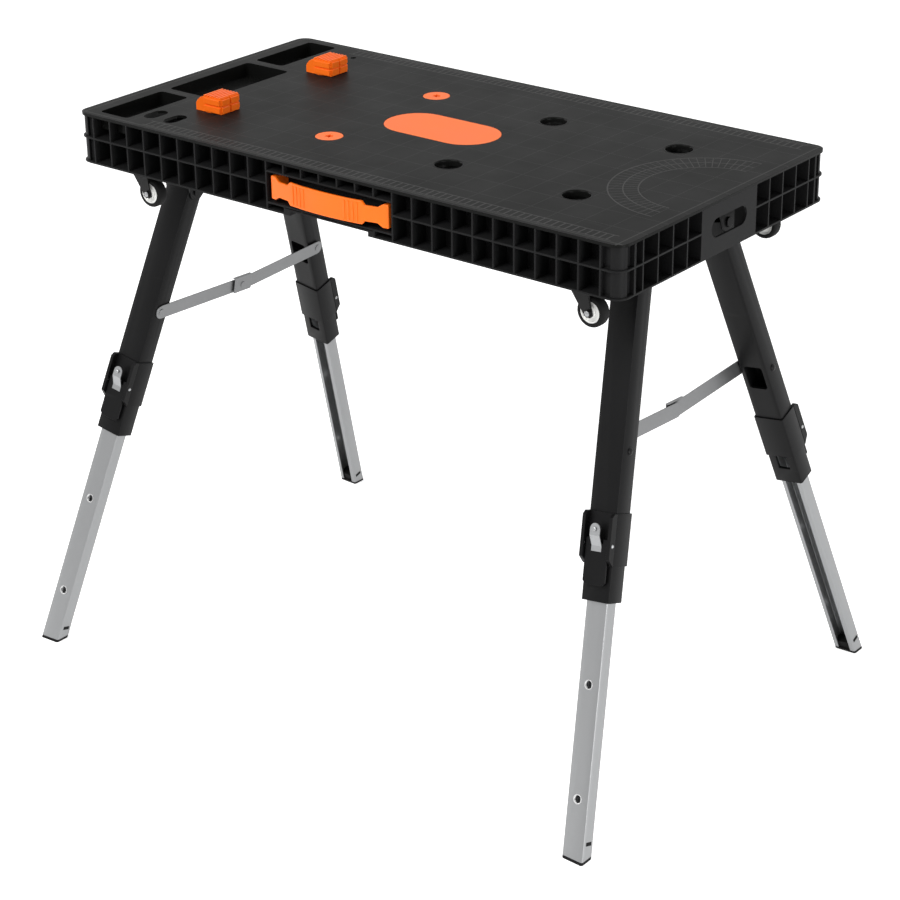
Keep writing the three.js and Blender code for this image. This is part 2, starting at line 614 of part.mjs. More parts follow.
// One pair of legs, built in its own leaning frame: x across the pair's plane,
// y along the hinge line and z up the plane, with the origin level with the hinge.
function legPair(end, sx) {
  const hingeZ = TOP_Z - HINGE_DROP[end];
  const hingeDown = (BOX_Z - hingeZ) / Math.cos(tilt);
  const hingeX = LENGTH / 2 - LEG_INSET + hingeDown * Math.sin(tilt);
  const pivotDown = hingeDown + PIVOT_DROP;
  const pivotY = LEG_TOP_Y + pivotDown * Math.tan(splay);
  const inward = -sx;
  const yokeNear = pivotY - CLEVIS_W / 2;
  const yokeFar = pivotY + CLEVIS_W / 2;

  // Bracket: a plate under the top with two ears for each leg's yoke.
  const seatZ = end === 'left' ? trayFloorZ : UNDER_DECK;
  const axisX = sx * (hingeX + HINGE_OFFSET * Math.cos(tilt));
  const axisZ = hingeZ + HINGE_OFFSET * Math.sin(tilt);
  const earFar = yokeFar + RUN_GAP + BRACKET_T;
  const earNear = yokeNear - RUN_GAP - BRACKET_T;
  const plateX = axisX - BRACKET_W / 2;
  const ear = new THREE.Shape();
  ear.moveTo(plateX + BRACKET_W, seatZ);
  ear.lineTo(plateX, seatZ);
  ear.lineTo(axisX - EAR_END_R, axisZ);
  ear.absarc(axisX, axisZ, EAR_END_R, Math.PI, Math.PI * 2);
  ear.lineTo(plateX + BRACKET_W, seatZ);
  const bracket = [block(plateX, plateX + BRACKET_W, -earFar, earFar, seatZ - BRACKET_T, seatZ)];
  for (const start of [-earFar, -earNear - BRACKET_T, earNear, earFar - BRACKET_T]) {
    bracket.push(acrossY(ear, start, start + BRACKET_T, 3));
  }
  const earHole = bar('y', HINGE_PIN_R + SEAT_GAP, -earFar - 1, earFar + 1, [axisX, 0, axisZ]);
  place(bench, `hinge_bracket_${end}`, joined(bracket).subtract(earHole), blackPaint());

  const pair = new THREE.Group();
  pair.position.set(sx * hingeX, 0, hingeZ);
  pair.rotation.y = -sx * tilt;
  bench.add(pair);

  // Yokes: a block on trunnions that turn in the ears, with two cheeks that hold the leg.
  const cheekIn = UPPER_W / 2 + SEAT_GAP;
  const cheekOut = cheekIn + CLEVIS_T;
  const trunnionReach = RUN_GAP + BRACKET_T + TRUNNION_PROUD;
  for (const [row, sy] of [['front', -1], ['back', 1]]) {
    const y = sy * pivotY;
    const half = CLEVIS_W / 2;
    const cheek = new THREE.Shape();
    cheek.moveTo(y + half, -YOKE_H / 2 + 1);
    cheek.lineTo(y - half, -YOKE_H / 2 + 1);
    cheek.lineTo(y - CLEVIS_END_R, -PIVOT_DROP);
    cheek.absarc(y, -PIVOT_DROP, CLEVIS_END_R, Math.PI, Math.PI * 2);
    const trunnionEnd = half + trunnionReach;
    const yoke = joined([
      block(-cheekOut, cheekOut, y - half, y + half, -YOKE_H / 2, YOKE_H / 2),
      bar('y', HINGE_PIN_R, -trunnionEnd, trunnionEnd, [sx * HINGE_OFFSET, y, 0]),
      acrossX(cheek, cheekIn, cheekOut, 3),
      acrossX(cheek, -cheekOut, -cheekIn, 3),
    ]);
    const boltHole = bar('x', HINGE_PIN_R + SEAT_GAP, -cheekOut - 1, cheekOut + 1, [0, y, -PIVOT_DROP]);
    place(pair, `leg_yoke_${row}_${end}`, yoke.subtract(boltHole), blackPaint());
  }

  // Stay: two straps riveted to the inner faces of the legs and to each other.
  const rivetDown = STAY_DROP - pivotDown / Math.cos(splay);
  const rivetY = pivotY + rivetDown * Math.sin(splay);
  const rivetZ = -PIVOT_DROP - rivetDown * Math.cos(splay);
  const strapL = Math.hypot(rivetY, STAY_SAG);
  const sagTurn = Math.asin(STAY_SAG / strapL);
  const face = UPPER_W / 2 + SEAT_GAP;
  const layers = [face, face + STRAP_T + SEAT_GAP];
  const inwardBar = (r, from, to, y, z, sides) => {
    const ends = [inward * from, inward * to].sort((a, b) => a - b);
    return bar('x', r, ends[0], ends[1], [0, y, z], sides);
  };
  const inwardStrip = (shape, from, to) => {
    const ends = [inward * from, inward * to].sort((a, b) => a - b);
    return acrossX(shape, ends[0], ends[1], 2);
  };
  const strip = roundRect(strapL + STRAP_W, STRAP_W, STRAP_W / 2 - 0.1, strapL / 2, 0);

  const frontStrap = new THREE.Group();
  frontStrap.position.set(0, -rivetY, rivetZ);
  frontStrap.rotation.x = -sagTurn;
  pair.add(frontStrap);
  const sleeveOut = layers[1] + STRAP_T + SEAT_GAP;
  const shank = inwardBar(RIVET_R, UPPER_W / 2 - 3, layers[0] + STRAP_T / 2, 0, 0);
  const head = inwardBar(RIVET_HEAD_R, layers[0] + STRAP_T / 2, layers[0] + STRAP_T + RIVET_HEAD_T, 0, 0);
  const midPin = inwardBar(RIVET_R, layers[0], sleeveOut - SEAT_GAP, strapL, 0);
  const frontPlate = inwardStrip(strip, layers[0], layers[0] + STRAP_T);
  place(frontStrap, `stay_strap_front_${end}`, joined([frontPlate, shank, head, midPin]), silver());

  const backStrap = new THREE.Group();
  backStrap.position.set(0, 0, rivetZ - STAY_SAG);
  backStrap.rotation.x = sagTurn;
  pair.add(backStrap);
  const backPlate = inwardStrip(strip, layers[1], layers[1] + STRAP_T);
  const stud = inwardBar(RIVET_HEAD_R, face, layers[1] + STRAP_T / 2, strapL, 0);
  const studHead = inwardBar(RIVET_HEAD_R, layers[1], layers[1] + STRAP_T + RIVET_HEAD_T, strapL, 0);
  const midHole = inwardBar(RIVET_R + SEAT_GAP, layers[1] - 1, layers[1] + STRAP_T + 1, 0, 0);
  place(backStrap, `stay_strap_back_${end}`, joined([backPlate, stud, studHead]).subtract(midHole), silver());

  // Folded sleeve over the middle rivet, closed along its top so that the stay only bends upwards.
  const sleeveTop = STRAP_W / 2 + SLEEVE_L / 2 * Math.tan(2 * sagTurn) + RUN_GAP;
  const sleeveRect = (low, high) => outline([[strapL - SLEEVE_L / 2, low], [strapL + SLEEVE_L / 2, low],
    [strapL + SLEEVE_L / 2, high], [strapL - SLEEVE_L / 2, high]]);
  const roofTop = sleeveTop + SLEEVE_T;
  const sleeveSide = inwardStrip(sleeveRect(-STRAP_W / 2, roofTop), sleeveOut, sleeveOut + SLEEVE_T);
  const sleeveRoof = inwardStrip(sleeveRect(sleeveTop, roofTop), layers[0], sleeveOut + SLEEVE_T);
  const sleeveFace = sleeveSide.add(sleeveRoof);
  const sleeveHead = inwardBar(RIVET_HEAD_R, sleeveOut, sleeveOut + SLEEVE_T + RIVET_HEAD_T, strapL, 0);
  place(frontStrap, `stay_sleeve_${end}`, joined([sleeveFace, sleeveHead]), silver());

  for (const [row, sy] of [['front', -1], ['back', 1]]) {
    oneLeg(pair, end, row, sx, sy, { pivotY, pivotDown, rivetDown, inward, hingeX, hingeZ });
  }
}

// One leg, from its pivot down: upper tube, latch, sliding lower tube and foot.
function oneLeg(pair, end, row, sx, sy, at) {
  const name = (piece) => `${piece}_${row}_${end}`;
  const pivotAt = [0, sy * at.pivotY, -PIVOT_DROP];
  const cheekOut = UPPER_W / 2 + SEAT_GAP + CLEVIS_T;
  const headOut = cheekOut + PIVOT_HEAD_T;
  const pivotBolt = joined([
    bar('x', HINGE_PIN_R, -headOut, headOut, pivotAt),
    bar('x', PIVOT_HEAD_R, cheekOut, headOut, pivotAt),
    bar('x', PIVOT_HEAD_R, -headOut, -cheekOut, pivotAt),
  ]);
  place(pair, name('leg_pivot_bolt'), pivotBolt, silver());

  const leg = new THREE.Group();
  leg.position.set(0, sy * at.pivotY, -PIVOT_DROP);
  leg.rotation.x = sy * splay;
  pair.add(leg);

  const upperEnd = -(UPPER_REACH / Math.cos(tilt) - at.pivotDown) / Math.cos(splay);
  const out = sy;
  const outward = (a, b) => [out * a, out * b].sort((p, q) => p - q);

  // Upper tube, open at both ends, with the lock hole outside and two windows inside.
  const bore = roundRect(LOWER_W + 2 * RUN_GAP, LOWER_D + 2 * RUN_GAP, TUBE_R);
  const upperCuts = [raised(bore, upperEnd - 1, TUBE_ABOVE_PIVOT + 1, 1)];
  upperCuts.push(bar('x', HINGE_PIN_R + SEAT_GAP, -UPPER_W, UPPER_W, [0, 0, 0]));
  const rivetEnds = [at.inward * (LOWER_W / 2), at.inward * UPPER_W].sort((a, b) => a - b);
  upperCuts.push(bar('x', RIVET_R + SEAT_GAP, rivetEnds[0], rivetEnds[1], [0, 0, -at.rivetDown]));
  const lockZ = upperEnd + LOCK_UP;
  const lockEnds = outward(0, UPPER_D);
  upperCuts.push(bar('y', LOCK_PIN_R + LOCK_SWING_ROOM, lockEnds[0], lockEnds[1], [0, 0, lockZ]));
  const inside = outward(-UPPER_D, 0);
  const bigWindow = roundRect(WINDOW_W, WINDOW_H, 4, 0, -at.rivetDown - WINDOW_H / 4);
  upperCuts.push(acrossY(bigWindow, inside[0], inside[1], 2));
  const smallWindow = roundRect(SMALL_WINDOW_W, SMALL_WINDOW_H, 1.5, 0, upperEnd + SMALL_WINDOW_UP);
  upperCuts.push(acrossY(smallWindow, inside[0], inside[1], 2));
  const upper = raised(roundRect(UPPER_W, UPPER_D, TUBE_R), upperEnd, TUBE_ABOVE_PIVOT, 1);
  place(leg, name('upper_leg'), cutBy(upper, upperCuts), blackPaint());

  // Latch bracket: a sleeve round the tube with two lugs that carry the lever.
  const sleeveIn = SEAT_GAP;
  const sleeveOut = SEAT_GAP + LATCH_SHEET;
  const low = upperEnd + SLEEVE_LOW;
  const ringPlan = (grow) => roundRect(UPPER_W + 2 * grow, UPPER_D + 2 * grow, TUBE_R);
  const ring = raised(ringPlan(sleeveOut), low, low + LATCH_L, 1);
  const ringBore = raised(ringPlan(sleeveIn), low - 1, low + LATCH_L + 1, 1);
  const lugFace = UPPER_D / 2 + sleeveOut;
  const lugShape = outline([[out * (lugFace - 1), low], [out * (lugFace + LUG_OUT), low + LUG_OUT],
    [out * (lugFace + LUG_OUT), low + LATCH_L - LUG_OUT / 2], [out * (lugFace + LUG_OUT / 2), low + LATCH_L],
    [out * (lugFace - 1), low + LATCH_L]]);
  const lugEdge = UPPER_W / 2 + sleeveOut;
  const lugs = [acrossX(lugShape, lugEdge - LUG_T, lugEdge), acrossX(lugShape, -lugEdge, -lugEdge + LUG_T)];
  const leverY = out * (lugFace + LEVER_STAND + LEVER_T / 2);
  const pinAt = [0, leverY, upperEnd + LEVER_PIN_UP];
  const pinHole = bar('x', LEVER_PIN_R + SEAT_GAP, -UPPER_W, UPPER_W, pinAt);
  const bracket = joined([ring.subtract(ringBore), ...lugs]).subtract(pinHole);
  place(leg, name('latch_bracket'), bracket, blackPaint());

  // Latch lever: a plate on a cross pin, a thumb tab above it and the lock pin below.
  const leverIn = lugFace + LEVER_STAND;
  const plateHalf = lugEdge - LUG_T - 1;
  const plateY = outward(leverIn, leverIn + LEVER_T);
  const plateLow = upperEnd + LEVER_LOW;
  const plateTop = upperEnd + LEVER_HIGH;
  const plate = block(-plateHalf, plateHalf, plateY[0], plateY[1], plateLow, plateTop);
  const tabLow = upperEnd + LEVER_HIGH - 4;
  const tabTop = tabLow + TAB_L;
  const tabMid = tabLow + TAB_L / 3;
  const thin = LEVER_T * 0.8;
  const tabSide = outline([[out * leverIn, tabLow], [out * (leverIn + LEVER_T), tabLow],
    [out * (leverIn + TAB_RISE + thin), tabMid], [out * (leverIn + TAB_RISE + thin), tabTop],
    [out * (leverIn + TAB_RISE), tabTop], [out * (leverIn + TAB_RISE), tabMid]]);
  const tab = acrossX(tabSide, -TAB_W / 2, TAB_W / 2);
  const tabPlan = roundRect(TAB_W, 2 * TAB_L, TAB_W / 2 - 0.1, 0, tabTop - TAB_L);
  const tabEnds = outward(0, UPPER_D * 2);
  const roundTab = tab.intersect(acrossY(tabPlan, tabEnds[0], tabEnds[1], 5));
  const crossPin = bar('x', LEVER_PIN_R, -lugEdge, lugEdge, pinAt);
  const pinEnds = outward(LOWER_D / 2 + RUN_GAP, leverIn + 1);
  const lockPin = bar('y', LOCK_PIN_R, pinEnds[0], pinEnds[1], [0, 0, lockZ]);
  place(leg, name('latch_lever'), joined([plate, roundTab, crossPin, lockPin]), silver());

  // Lower tube: a channel with its open side inwards and lock holes outside,
  // cut level with the floor, on a foot pad that plugs into its end.
  const lean = new THREE.Matrix4().makeRotationY(-sx * tilt);
  const start = new THREE.Vector3(...pivotAt).applyMatrix4(lean);
  const turn = lean.clone().multiply(new THREE.Matrix4().makeRotationX(sy * splay));
  const up = turn.elements;
  const levelAt = (x, y, height) => (height - (at.hingeZ + start.z) - up[2] * x - up[6] * y) / up[10];
  const levelled = (shape, top, height) => {
    const geometry = new THREE.ExtrudeGeometry(shape, { depth: 1, bevelEnabled: false, curveSegments: 1 });
    const spots = geometry.attributes.position;
    for (let i = 0; i < spots.count; i += 1) {
      const level = levelAt(spots.getX(i), spots.getY(i), height);
      spots.setZ(i, spots.getZ(i) > 0.5 ? top : level);
    }
    return solid(geometry);
  };
  const lowerTop = upperEnd + LOWER_OVERLAP;
  const shell = levelled(roundRect(LOWER_W, LOWER_D, TUBE_R), lowerTop, FOOT_T + SEAT_GAP);
  const coreW = LOWER_W - 2 * LOWER_WALL;
  const coreD = LOWER_D - 2 * LOWER_WALL;
  const floorZ = levelAt(0, 0, 0);
  const lowerCuts = [raised(roundRect(coreW, coreD, 1), floorZ - LOWER_D, lowerTop + 1, 1)];
  const slotEnds = outward(-LOWER_D, 0);
  const slotHalf = LOWER_SLOT_W / 2;
  lowerCuts.push(block(-slotHalf, slotHalf, slotEnds[0], slotEnds[1], floorZ - LOWER_D, lowerTop + 1));
  const holeEnds = outward(0, LOWER_D);
  for (const step of [0, 1, 2]) {
    lowerCuts.push(bar('y', LOCK_HOLE_R, holeEnds[0], holeEnds[1], [0, 0, lockZ - step * LOCK_STEP]));
  }
  place(leg, name('lower_leg'), cutBy(shell, lowerCuts), silver());

  const pad = levelled(roundRect(LOWER_W, LOWER_D, TUBE_R), floorZ + 2 * FOOT_PLUG_H, 0);
  const plugTop = floorZ + FOOT_T + FOOT_PLUG_H;
  const abovePad = levelled(roundRect(LOWER_W + 2, LOWER_D + 2, TUBE_R), floorZ + 3 * FOOT_PLUG_H, FOOT_T);
  const sole = pad.subtract(abovePad);
  const stemPlan = roundRect(coreW - 2 * SEAT_GAP, coreD - 2 * SEAT_GAP, 1);
  const stem = levelled(stemPlan, plugTop, FOOT_T / 2);
  place(leg, name('foot_pad'), sole.add(stem), blackRubber());
}

legPair('left', -1);
legPair('right', 1);

export default bench;
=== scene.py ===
import json
import math
import bmesh
import bpy
from mathutils import Matrix, Quaternion, Vector

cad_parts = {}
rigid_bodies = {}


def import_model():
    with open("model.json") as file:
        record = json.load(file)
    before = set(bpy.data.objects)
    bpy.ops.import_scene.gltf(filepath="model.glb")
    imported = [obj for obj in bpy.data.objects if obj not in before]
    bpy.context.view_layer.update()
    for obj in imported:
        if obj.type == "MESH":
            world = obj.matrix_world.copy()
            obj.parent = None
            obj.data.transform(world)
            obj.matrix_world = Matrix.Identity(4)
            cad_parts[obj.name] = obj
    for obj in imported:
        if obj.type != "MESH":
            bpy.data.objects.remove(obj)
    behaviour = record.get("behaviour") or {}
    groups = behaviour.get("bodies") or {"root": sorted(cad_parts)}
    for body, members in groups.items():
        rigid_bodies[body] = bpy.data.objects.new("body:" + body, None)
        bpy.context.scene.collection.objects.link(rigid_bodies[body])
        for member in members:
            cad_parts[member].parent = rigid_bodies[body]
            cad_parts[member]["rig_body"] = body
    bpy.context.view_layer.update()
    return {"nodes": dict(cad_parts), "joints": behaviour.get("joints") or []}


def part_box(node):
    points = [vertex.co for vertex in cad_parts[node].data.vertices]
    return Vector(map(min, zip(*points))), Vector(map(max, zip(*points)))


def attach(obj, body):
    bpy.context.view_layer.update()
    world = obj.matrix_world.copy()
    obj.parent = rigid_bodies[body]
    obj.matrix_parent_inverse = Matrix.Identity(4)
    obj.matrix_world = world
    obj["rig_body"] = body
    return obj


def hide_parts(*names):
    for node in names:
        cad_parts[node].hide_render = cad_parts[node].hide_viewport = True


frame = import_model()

nodes = frame["nodes"]


# The viewpoint: a long lens from the front right corner, a little above the work surface,
# as a maker's catalogue shows a bench. The roll is the small lean of a hand-held camera.
eye = Vector((1.9765, -2.4635, 1.7648))
aim = Vector((0.0376, -0.0215, 0.3104))
roll = math.radians(-0.62)
lens_data = bpy.data.cameras.new("viewpoint")
lens_data.lens = 99.08
lens_data.sensor_width = 36.0
lens_data.shift_x = -0.0089
lens_data.shift_y = 0.0118
viewpoint = bpy.data.objects.new("viewpoint", lens_data)
viewpoint.location = eye
viewpoint.rotation_mode = "QUATERNION"
viewpoint.rotation_quaternion = (aim - eye).to_track_quat("-Z", "Y") @ Quaternion((0, 0, 1), roll)
bpy.context.scene.collection.objects.link(viewpoint)
bpy.context.scene.camera = viewpoint


# The studio: a pale floor that fades into a white surround, with soft lamps above.
# The floor shows white to the camera and still takes the bench's shadow.
bpy.context.scene.view_settings.view_transform = "Standard"


def linked(name, mesh):
    obj = bpy.data.objects.new(name, mesh)
    bpy.context.scene.collection.objects.link(obj)
    return obj


def maths(tree, operation, *values):
    node = tree.nodes.new("ShaderNodeMath")
    node.operation = operation
    for place, value in enumerate(values):
        if isinstance(value, (int, float)):
            node.inputs[place].default_value = value
        else:
            tree.links.new(value, node.inputs[place])
    return node.outputs[0]


def seen_ray(tree):
    """One where a ray is seen by the camera, in a reflection or through glass, and nothing elsewhere."""
    path = tree.nodes.new("ShaderNodeLightPath")
    mirrored = maths(tree, "MAXIMUM", path.outputs["Is Glossy Ray"], path.outputs["Is Transmission Ray"])
    return maths(tree, "MAXIMUM", path.outputs["Is Camera Ray"], mirrored)


floor_shape = bmesh.new()
bmesh.ops.create_grid(floor_shape, x_segments=1, y_segments=1, size=12.0)
floor_mesh = bpy.data.meshes.new("studio_floor")
floor_shape.to_mesh(floor_mesh)
floor_shape.free()
studio_floor = linked("studio_floor", floor_mesh)
studio_floor.location.z = -0.0005
floor_finish = bpy.data.materials.new("pale_floor")
floor_finish.use_nodes = True
floor_paint = floor_finish.node_tree.nodes["Principled BSDF"]
floor_paint.inputs["Base Color"].default_value = (0.92, 0.92, 0.92, 1)
floor_paint.inputs["Roughness"].default_value = 0.9
floor_paint.inputs["Emission Color"].default_value = (1, 1, 1, 1)
floor_shine = 0.6
floor_glow = maths(floor_finish.node_tree, "MULTIPLY", seen_ray(floor_finish.node_tree), floor_shine)
floor_finish.node_tree.links.new(floor_glow, floor_paint.inputs["Emission Strength"])
floor_mesh.materials.append(floor_finish)

surround = bpy.data.worlds.new("white_surround")
surround.use_nodes = True
bpy.context.scene.world = surround
sky = surround.node_tree.nodes["Background"]
sky.inputs["Color"].default_value = (1, 1, 1, 1)
sky_lit = 0.42
sky_seen = 0.58
sky_level = maths(surround.node_tree, "MULTIPLY_ADD", seen_ray(surround.node_tree), sky_seen, sky_lit)
surround.node_tree.links.new(sky_level, sky.inputs["Strength"])

for lamp_name, spot, size, power in (
    ("key_softbox", (-0.6, -2.4, 2.9), 1.8, 88.0),
    ("back_softbox", (2.2, 2.2, 2.2), 1.4, 26.0),
    ("left_softbox", (-2.9, -0.6, 1.4), 1.4, 30.0),
    ("right_softbox", (3.0, -0.6, 0.6), 1.4, 48.0),
):
    lamp_data = bpy.data.lights.new(lamp_name, "AREA")
    lamp_data.size = size
    lamp_data.energy = power
    lamp = bpy.data.objects.new(lamp_name, lamp_data)
    lamp.location = spot
    lamp.rotation_mode = "QUATERNION"
    lamp.rotation_quaternion = (Vector((0, 0, 0.5)) - Vector(spot)).to_track_quat("-Z", "Y")
    bpy.context.scene.collection.objects.link(lamp)


# The deck: one large injection moulding in black plastic, with trays, dog sockets and
# slots moulded in, and a faint grid, two rulers and a protractor raised on its surface.
def node_group(name, takes, gives):
    group = bpy.data.node_groups.new(name, "ShaderNodeTree")
    for label, kind, value in takes:
        socket = group.interface.new_socket(label, in_out="INPUT", socket_type=kind)
        if value is not None:
            socket.default_value = value
    for label, kind in gives:
        group.interface.new_socket(label, in_out="OUTPUT", socket_type=kind)
    start = group.nodes.new("NodeGroupInput")
    end = group.nodes.new("NodeGroupOutput")
    return group, start, end


def blend(tree, factor, first, second):
    """One colour turning into another by a factor; each may be a plain colour or a socket."""
    node = tree.nodes.new("ShaderNodeMix")
    node.data_type = "RGBA"
    tree.links.new(factor, node.inputs[0])
    for socket, colour in ((node.inputs[6], first), (node.inputs[7], second)):
        if isinstance(colour, (tuple, list)):
            socket.default_value = (*colour[:3], 1)
        else:
            tree.links.new(colour, socket)
    return node.outputs[2]


# Moulded grain: the fine texture that the mould leaves on the plastic,
# and slow clouds of tone where it has cooled unevenly.
grain_group, grain_in, grain_out = node_group(
    "moulded_grain",
    [
        ("Vector", "NodeSocketVector", None),
        ("Grain", "NodeSocketFloat", 900.0),
        ("Cloud", "NodeSocketFloat", 9.0),
    ],
    [("Height", "NodeSocketFloat"), ("Tone", "NodeSocketFloat")],
)
grain_fine = grain_group.nodes.new("ShaderNodeTexNoise")
grain_fine.inputs["Detail"].default_value = 3.0
grain_cloud = grain_group.nodes.new("ShaderNodeTexNoise")
grain_cloud.inputs["Detail"].default_value = 4.0
grain_group.links.new(grain_in.outputs["Vector"], grain_fine.inputs["Vector"])
grain_group.links.new(grain_in.outputs["Grain"], grain_fine.inputs["Scale"])
grain_group.links.new(grain_in.outputs["Vector"], grain_cloud.inputs["Vector"])
grain_group.links.new(grain_in.outputs["Cloud"], grain_cloud.inputs["Scale"])
grain_group.links.new(grain_fine.outputs["Fac"], grain_out.inputs["Height"])
grain_group.links.new(grain_cloud.outputs["Fac"], grain_out.inputs["Tone"])


# Handling marks: short thin scuffs from tools and hands,
# which show paler where the bench has been used.
scuff_group, scuff_in, scuff_out = node_group(
    "handling_marks",
    [("Vector", "NodeSocketVector", None), ("Amount", "NodeSocketFloat", 0.5)],
    [("Mask", "NodeSocketFloat")],
)
scuff_turn = scuff_group.nodes.new("ShaderNodeMapping")
scuff_turn.inputs["Rotation"].default_value = (0.3, 0.2, 0.7)
scuff_turn.inputs["Scale"].default_value = (14.0, 160.0, 60.0)
scuff_noise = scuff_group.nodes.new("ShaderNodeTexNoise")
scuff_noise.inputs["Scale"].default_value = 1.0
scuff_noise.inputs["Detail"].default_value = 6.0
scuff_edge = scuff_group.nodes.new("ShaderNodeMapRange")
scuff_edge.inputs["From Min"].default_value = 0.66
scuff_edge.inputs["From Max"].default_value = 0.8
scuff_group.links.new(scuff_in.outputs["Vector"], scuff_turn.inputs["Vector"])
scuff_group.links.new(scuff_turn.outputs["Vector"], scuff_noise.inputs["Vector"])
scuff_group.links.new(scuff_noise.outputs["Fac"], scuff_edge.inputs["Value"])
scuff_mask = maths(scuff_group, "MULTIPLY", scuff_edge.outputs[0], scuff_in.outputs["Amount"])
scuff_group.links.new(scuff_mask, scuff_out.inputs["Mask"])


def grained(
    name, colour, rough, grain=900.0, bump=0.00004, metal=0.0, scuffs=0.3, cloud=9.0, drawn=None, sheen=0.5
):
    """A finish with moulded or cast grain, clouded tone and a few scuffs.

    A drawn direction stretches the grain into streaks along it.
    """
    finish = bpy.data.materials.new(name)
    finish.use_nodes = True
    tree = finish.node_tree
    shader = tree.nodes["Principled BSDF"]
    shader.inputs["Metallic"].default_value = metal
    shader.inputs["Specular IOR Level"].default_value = sheen
    spot = tree.nodes.new("ShaderNodeTexCoord").outputs["Object"]
    if drawn is not None:
        streak = tree.nodes.new("ShaderNodeMapping")
        streak.vector_type = "TEXTURE"
        streak.inputs["Rotation"].default_value = Vector(drawn).to_track_quat("Z", "Y").to_euler()
        streak.inputs["Scale"].default_value = (1.0, 1.0, 60.0)
        tree.links.new(spot, streak.inputs["Vector"])
        spot = streak.outputs["Vector"]
    texture = tree.nodes.new("ShaderNodeGroup")
    texture.node_tree = grain_group
    texture.inputs["Grain"].default_value = grain
    texture.inputs["Cloud"].default_value = cloud
    tree.links.new(spot, texture.inputs["Vector"])
    marks = tree.nodes.new("ShaderNodeGroup")
    marks.node_tree = scuff_group
    marks.inputs["Amount"].default_value = scuffs
    tree.links.new(spot, marks.inputs["Vector"])
    dark = [c * 0.85 for c in colour]
    light = [min(1.0, c * 1.18) for c in colour]
    worn = [min(1.0, c * 1.5 + 0.02) for c in colour]
    clouded = blend(tree, texture.outputs["Tone"], dark, light)
    tree.links.new(blend(tree, marks.outputs["Mask"], clouded, worn), shader.inputs["Base Color"])
    gloss = maths(tree, "MULTIPLY_ADD", texture.outputs["Tone"], 0.16, rough - 0.08)
    tree.links.new(gloss, shader.inputs["Roughness"])
    relief = tree.nodes.new("ShaderNodeBump")
    relief.inputs["Strength"].default_value = 0.6
    relief.inputs["Distance"].default_value = bump
    tree.links.new(texture.outputs["Height"], relief.inputs["Height"])
    tree.links.new(relief.outputs["Normal"], shader.inputs["Normal"])
    return finish


def softened(node, finish, width=0.0007, segments=2):
    """The CAD piece with its edges broken, as a moulding or a pressing leaves them."""
    source = nodes[node]
    shape = bmesh.new()
    shape.from_mesh(source.data)
    bmesh.ops.remove_doubles(shape, verts=shape.verts, dist=0.00001)
    bmesh.ops.dissolve_limit(shape, angle_limit=0.01, verts=shape.verts, edges=shape.edges)
    mesh = bpy.data.meshes.new(node + "_soft")
    shape.to_mesh(mesh)
    shape.free()
    for shading in ("custom_normal", "sharp_face", "sharp_edge"):
        if shading in mesh.attributes:
            mesh.attributes.remove(mesh.attributes[shading])
    mesh.materials.clear()
    mesh.materials.append(finish)
    piece = linked(node + "_soft", mesh)
    mesh.shade_smooth()
    edge = piece.modifiers.new("broken_edges", "BEVEL")
    edge.width = width
    edge.segments = segments
    edge.limit_method = "ANGLE"
    edge.angle_limit = math.radians(35)
    edge.harden_normals = True
    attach(piece, source["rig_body"])
    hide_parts(node)
    return piece


deck_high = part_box("top_deck")[1]
deck_top = deck_high.z
deck_black = (0.0058, 0.006, 0.0057)
ink_grey = (0.05, 0.05, 0.049)
deck_finish = grained("deck_plastic", deck_black, 0.46, scuffs=0.25, cloud=14.0, sheen=0.05)
deck_tree = deck_finish.node_tree
deck_spot = deck_tree.nodes.new("ShaderNodeSeparateXYZ")
deck_coords = deck_tree.nodes.new("ShaderNodeTexCoord")
deck_tree.links.new(deck_coords.outputs["Object"], deck_spot.inputs[0])
deck_x = deck_spot.outputs["X"]
deck_y = deck_spot.outputs["Y"]


def ruled(operation, *values):
    """A step of the deck's rulings, worked out in the deck's own finish."""
    return maths(deck_tree, operation, *values)


grid_pitch_x = 0.040
grid_pitch_y = 0.045
grid_half = 0.0006
grid_strength = 0.35
grid_x = ruled("LESS_THAN", ruled("PINGPONG", deck_x, grid_pitch_x / 2), grid_half)
grid_y = ruled("LESS_THAN", ruled("PINGPONG", deck_y, grid_pitch_y / 2), grid_half)
grid = ruled("MULTIPLY", ruled("MAXIMUM", grid_x, grid_y), grid_strength)
ruler_mid = 0.213
ruler_half = 0.009
ruler_mid_x = 0.0455
ruler_half_run = 0.3815
ruler_edge_half = 0.0008
tick_pitch = 0.010
tick_half = 0.0010
away = ruled("ABSOLUTE", deck_y)
in_strip = ruled("COMPARE", away, ruler_mid, ruler_half)
in_run = ruled("COMPARE", deck_x, ruler_mid_x, ruler_half_run)
tick = ruled("LESS_THAN", ruled("PINGPONG", deck_x, tick_pitch / 2), tick_half)
from_strip = ruled("ABSOLUTE", ruled("SUBTRACT", away, ruler_mid))
strip_edge = ruled("COMPARE", from_strip, ruler_half, ruler_edge_half)
in_rule = ruled("MULTIPLY", in_run, ruled("MAXIMUM", ruled("MULTIPLY", tick, in_strip), strip_edge))
arc_mid_x = 0.418
outer_ring_r = 0.124
outer_ring_half = 0.0009
inner_ring_half = 0.0008
arc_x = ruled("SUBTRACT", deck_x, arc_mid_x)
arc_r = ruled("SQRT", ruled("ADD", ruled("MULTIPLY", arc_x, arc_x), ruled("MULTIPLY", deck_y, deck_y)))
rings = ruled("COMPARE", arc_r, outer_ring_r, outer_ring_half)
for ring_r in (0.105, 0.086):
    rings = ruled("MAXIMUM", rings, ruled("COMPARE", arc_r, ring_r, inner_ring_half))
spoke_step = math.radians(5)
spoke_half = 0.0005
spoke_mid_r = 0.105
spoke_reach = 0.019
arc_turn = ruled("ARCTAN2", deck_y, arc_x)
